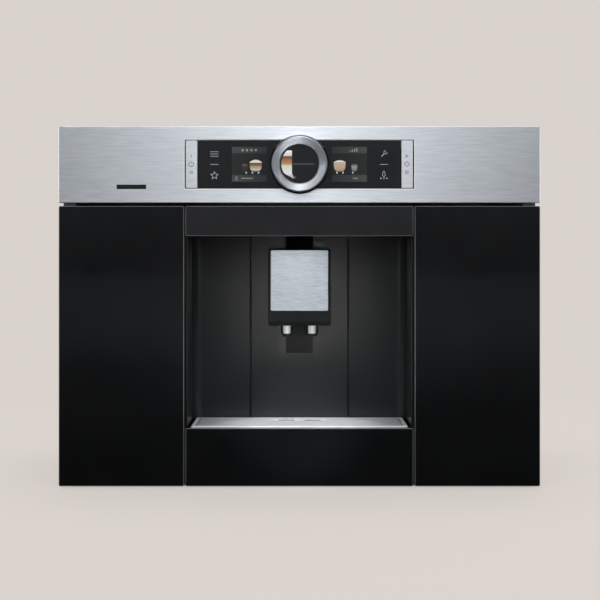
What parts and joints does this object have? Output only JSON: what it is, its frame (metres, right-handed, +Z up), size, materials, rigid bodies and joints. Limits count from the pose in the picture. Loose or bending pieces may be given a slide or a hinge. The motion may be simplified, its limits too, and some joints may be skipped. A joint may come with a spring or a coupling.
{
  "type": "built in coffee machine",
  "caption": "Built-in coffee machine: steel fascia with dial, black glass doors, cup niche with height-adjustable spout and pull-out drip drawer.",
  "frame": {"origin": "middle of the base, on the surface that the machine stands on", "axes": "+X to the right seen from the front, +Y into the cabinet, +Z up"},
  "size_m": [0.594, 0.385, 0.446],
  "materials": {
    "brushed_steel": "fine horizontal brushing",
    "spun_steel": "circular spun brushing",
    "chrome_plate": "polished",
    "front_glass": "black enamelled glass, gloss",
    "display_glass": "black display glass, gloss",
    "niche_plastic": "fine satin grain",
    "black_plastic": "fine grain",
    "grey_plastic": "moulded, matte",
    "clear_plastic": "clear, slightly blue",
    "zinc_steel": "galvanised sheet, fine spangle",
    "cast_aluminium": "as cast",
    "circuit_board": "green solder mask",
    "silicone_hose": "translucent silicone"
  },
  "bodies": {
    "carcass": {"base_pan": "zinc_steel", "side_panel_left": "zinc_steel", "side_panel_right": "zinc_steel", "rear_panel": "zinc_steel", "top_panel": "zinc_steel", "front_frame": "black_plastic", "bay_partition_left": "zinc_steel", "bay_partition_right": "zinc_steel", "hopper_shelf": "zinc_steel", "hinge_bracket_left_upper": "zinc_steel", "hinge_bracket_left_lower": "zinc_steel", "hinge_bracket_right_upper": "zinc_steel", "hinge_bracket_right_lower": "zinc_steel", "drawer_guide": "zinc_steel", "power_inlet": "black_plastic", "control_fascia": "brushed_steel", "status_window": "display_glass", "control_housing": "black_plastic", "control_board": "circuit_board", "display_glass_left": "display_glass", "display_glass_right": "display_glass", "display_module_left": "grey_plastic", "display_module_right": "grey_plastic", "dial_bearing": "black_plastic", "dial_centre_display": "display_glass", "header_glass": "front_glass", "niche_shell_left": "niche_plastic", "niche_shell_right": "niche_plastic", "niche_centre_column": "niche_plastic", "niche_ceiling": "niche_plastic", "outlet_guide": "black_plastic", "water_tank": "clear_plastic", "tank_lid": "black_plastic", "milk_container": "clear_plastic", "milk_lid": "black_plastic", "bean_hopper": "clear_plastic", "hopper_lid": "black_plastic", "grinder": "grey_plastic", "brew_unit": "grey_plastic", "thermoblock": "cast_aluminium", "water_pump": "grey_plastic", "suction_hose": "silicone_hose", "pressure_hose": "silicone_hose", "power_board": "circuit_board"},
    "dial": {"dial_ring": "spun_steel"},
    "on_off_key": {"on_off_bar": "brushed_steel"},
    "start_stop_key": {"start_stop_bar": "brushed_steel"},
    "left_door": {"door_glass_left": "front_glass", "door_liner_left": "black_plastic"},
    "right_door": {"door_glass_right": "front_glass", "door_liner_right": "black_plastic"},
    "outlet": {"outlet_carriage": "niche_plastic", "outlet_housing": "black_plastic", "outlet_cover_plate": "brushed_steel", "nozzle_left": "chrome_plate", "nozzle_right": "chrome_plate"},
    "drawer": {"drawer_front_glass": "front_glass", "drip_basin": "black_plastic", "grounds_container": "black_plastic"},
    "drip_grille": {"drip_plate": "brushed_steel"}
  },
  "joints": [
    {"name": "dial_turn", "type": "hinge", "parent": "carcass", "child": "dial", "pos_m": [0, -0.187, 0.3992], "axis": [0, -1, 0], "continuous": true},
    {"name": "on_off_bar_press", "type": "slide", "parent": "carcass", "child": "on_off_key", "axis": [0, 1, 0], "range_m": [0, 0.0012], "stiffness_N_per_m": 800},
    {"name": "start_stop_bar_press", "type": "slide", "parent": "carcass", "child": "start_stop_key", "axis": [0, 1, 0], "range_m": [0, 0.0012], "stiffness_N_per_m": 800},
    {"name": "left_door_hinge", "type": "hinge", "parent": "carcass", "child": "left_door", "pos_m": [-0.293, -0.1715, 0.175], "axis": [0, 0, -1], "range_deg": [0, 110]},
    {"name": "right_door_hinge", "type": "hinge", "parent": "carcass", "child": "right_door", "pos_m": [0.293, -0.1715, 0.175], "axis": [0, 0, 1], "range_deg": [0, 110]},
    {"name": "outlet_slide", "type": "slide", "parent": "carcass", "child": "outlet", "axis": [0, 0, -1], "range_m": [0, 0.075]},
    {"name": "drip_drawer_slide", "type": "slide", "parent": "carcass", "child": "drawer", "axis": [0, -1, 0], "range_m": [0, 0.19]},
    {"name": "drip_plate_lift", "type": "slide", "parent": "drawer", "child": "drip_grille", "axis": [0, 0, 1], "range_m": [0, 0.025]}
  ]
}
